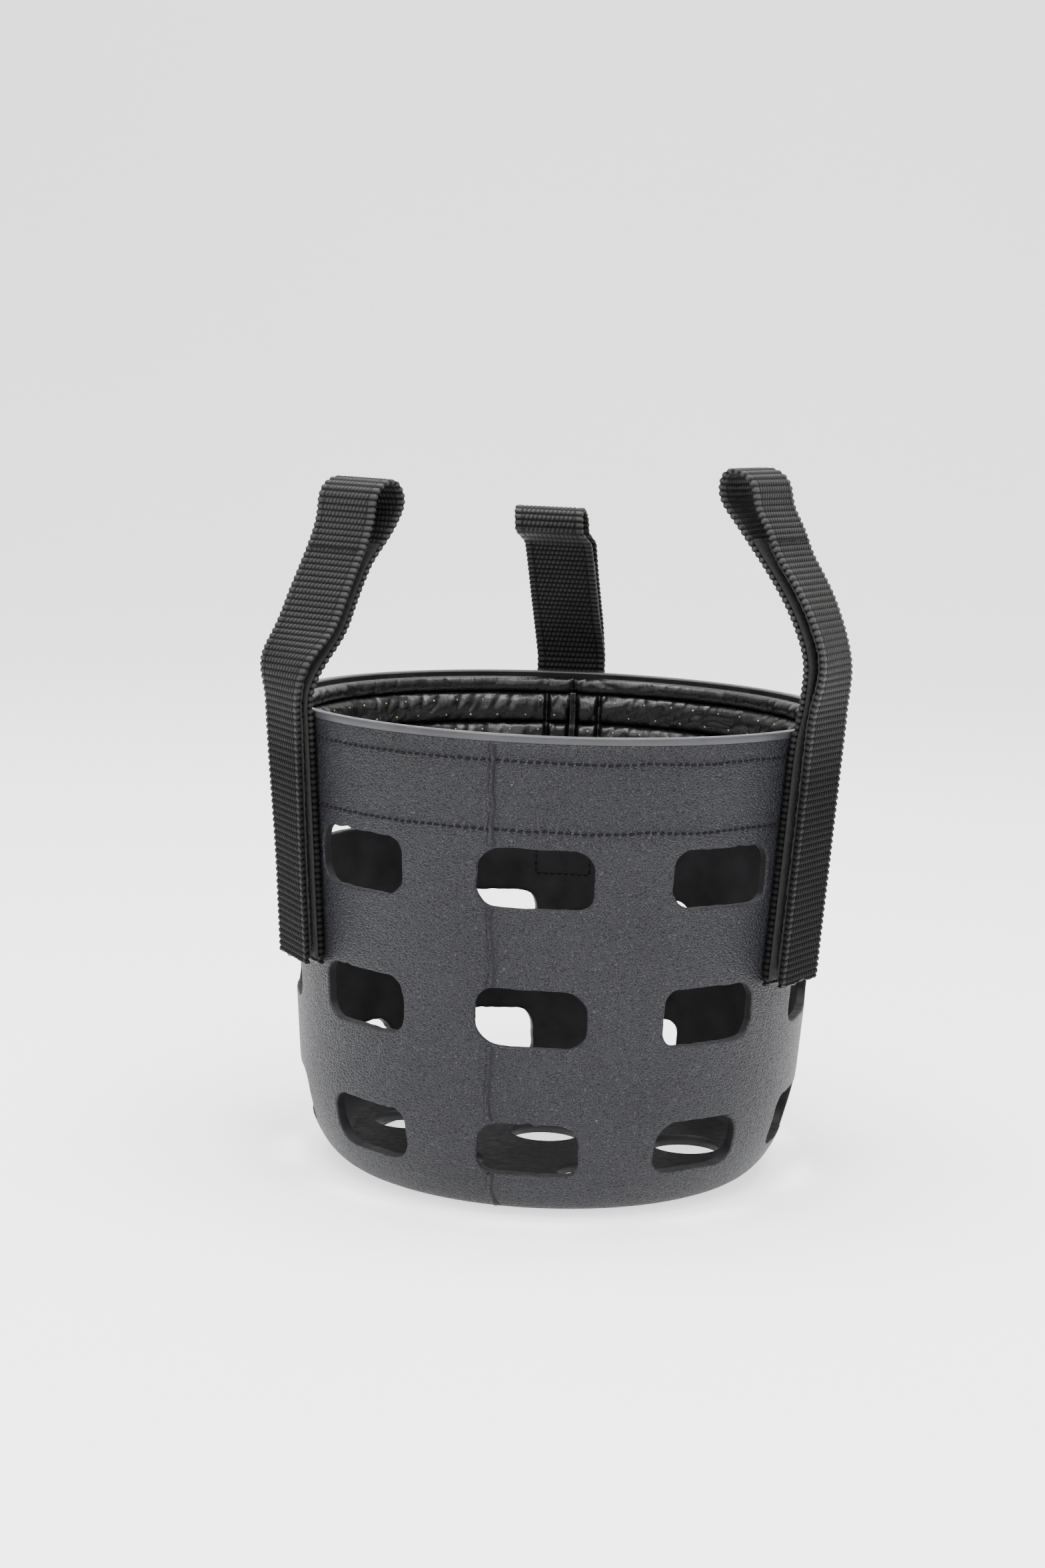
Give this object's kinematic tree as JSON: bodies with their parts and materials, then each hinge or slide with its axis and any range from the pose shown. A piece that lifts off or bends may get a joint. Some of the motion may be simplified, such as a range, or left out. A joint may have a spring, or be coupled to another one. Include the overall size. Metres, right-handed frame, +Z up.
{
  "type": "feed bucket",
  "caption": "Grazing feed bucket in moulded rubber with rows of windows, grass holes in the floor, a quilted rim lining and hook-and-loop strap loops.",
  "frame": {"origin": "middle of the underside of the floor, on the bucket's axis", "axes": "+Z up out of the mouth, -Y towards the front with a window in the middle, the back strap at +Y, side straps towards -X and +X"},
  "size_m": [0.2316, 0.2362, 0.2894],
  "materials": {
    "bucket_rubber": "satin, pebble grain",
    "lining_vinyl": "soft gloss, creased",
    "foam": "matte open-cell foam",
    "webbing": "woven matte",
    "hook_tape": "matte, bristly",
    "loop_tape": "matte, brushed",
    "thread": "matte"
  },
  "bodies": {
    "bucket": {"bucket_shell": "bucket_rubber", "rim_stitch_upper": "thread", "rim_stitch_lower": "thread", "lining_cover": "lining_vinyl", "foam_roll": "foam", "foam_strip_upper": "foam", "foam_strip_lower": "foam", "lining_piping": "lining_vinyl", "left_webbing_sewn": "webbing", "left_hook_tape_lower": "hook_tape", "left_box_stitch": "thread", "right_webbing_sewn": "webbing", "right_hook_tape_lower": "hook_tape", "right_box_stitch": "thread", "back_webbing_sewn": "webbing", "back_hook_tape_lower": "hook_tape", "back_box_stitch": "thread"},
    "left_strap": {"left_webbing_loop": "webbing", "left_hook_tape_upper": "hook_tape"},
    "left_flap": {"left_webbing_flap": "webbing", "left_loop_tape_upper": "loop_tape", "left_tape_stitch": "thread"},
    "left_flap_end": {"left_webbing_end": "webbing", "left_loop_tape_lower": "loop_tape"},
    "right_strap": {"right_webbing_loop": "webbing", "right_hook_tape_upper": "hook_tape"},
    "right_flap": {"right_webbing_flap": "webbing", "right_loop_tape_upper": "loop_tape", "right_tape_stitch": "thread"},
    "right_flap_end": {"right_webbing_end": "webbing", "right_loop_tape_lower": "loop_tape"},
    "back_strap": {"back_webbing_loop": "webbing", "back_hook_tape_upper": "hook_tape"},
    "back_flap": {"back_webbing_flap": "webbing", "back_loop_tape_upper": "loop_tape", "back_tape_stitch": "thread"},
    "back_flap_end": {"back_webbing_end": "webbing", "back_loop_tape_lower": "loop_tape"}
  },
  "joints": [
    {"name": "left_sway", "type": "hinge", "parent": "bucket", "child": "left_strap", "pos_m": [-0.09975, -0.05759, 0.196], "axis": [0.5, -0.866, 0], "range_deg": [-20, 25], "stiffness_Nm_per_rad": 0.35},
    {"name": "left_peel", "type": "hinge", "parent": "left_strap", "child": "left_flap", "pos_m": [-0.08478, -0.04895, 0.25666], "axis": [-0.5, 0.866, 0], "range_deg": [0, 120]},
    {"name": "left_drape", "type": "hinge", "parent": "left_flap", "child": "left_flap_end", "pos_m": [-0.10495, -0.06059, 0.196], "axis": [0.5, -0.866, 0], "range_deg": [-25, 20]},
    {"name": "right_sway", "type": "hinge", "parent": "bucket", "child": "right_strap", "pos_m": [0.10123, -0.05496, 0.196], "axis": [0.4772, 0.8788, 0], "range_deg": [-20, 25], "stiffness_Nm_per_rad": 0.35},
    {"name": "right_peel", "type": "hinge", "parent": "right_strap", "child": "right_flap", "pos_m": [0.08825, -0.04792, 0.26621], "axis": [-0.4772, -0.8788, 0], "range_deg": [0, 120]},
    {"name": "right_drape", "type": "hinge", "parent": "right_flap", "child": "right_flap_end", "pos_m": [0.1072, -0.05821, 0.196], "axis": [0.4772, 0.8788, 0], "range_deg": [-25, 20]},
    {"name": "back_sway", "type": "hinge", "parent": "bucket", "child": "back_strap", "pos_m": [-0.00402, 0.11511, 0.196], "axis": [-0.9994, -0.0349, 0], "range_deg": [-20, 25], "stiffness_Nm_per_rad": 0.35},
    {"name": "back_peel", "type": "hinge", "parent": "back_strap", "child": "back_flap", "pos_m": [-0.00337, 0.09657, 0.24449], "axis": [0.9994, 0.0349, 0], "range_deg": [0, 120]},
    {"name": "back_drape", "type": "hinge", "parent": "back_flap", "child": "back_flap_end", "pos_m": [-0.00423, 0.12111, 0.196], "axis": [-0.9994, -0.0349, 0], "range_deg": [-25, 20]}
  ],
  "couplings": [
    {"joint": "left_drape", "follows": "left_sway", "ratio": -1},
    {"joint": "right_drape", "follows": "right_sway", "ratio": -1},
    {"joint": "back_drape", "follows": "back_sway", "ratio": -1}
  ]
}
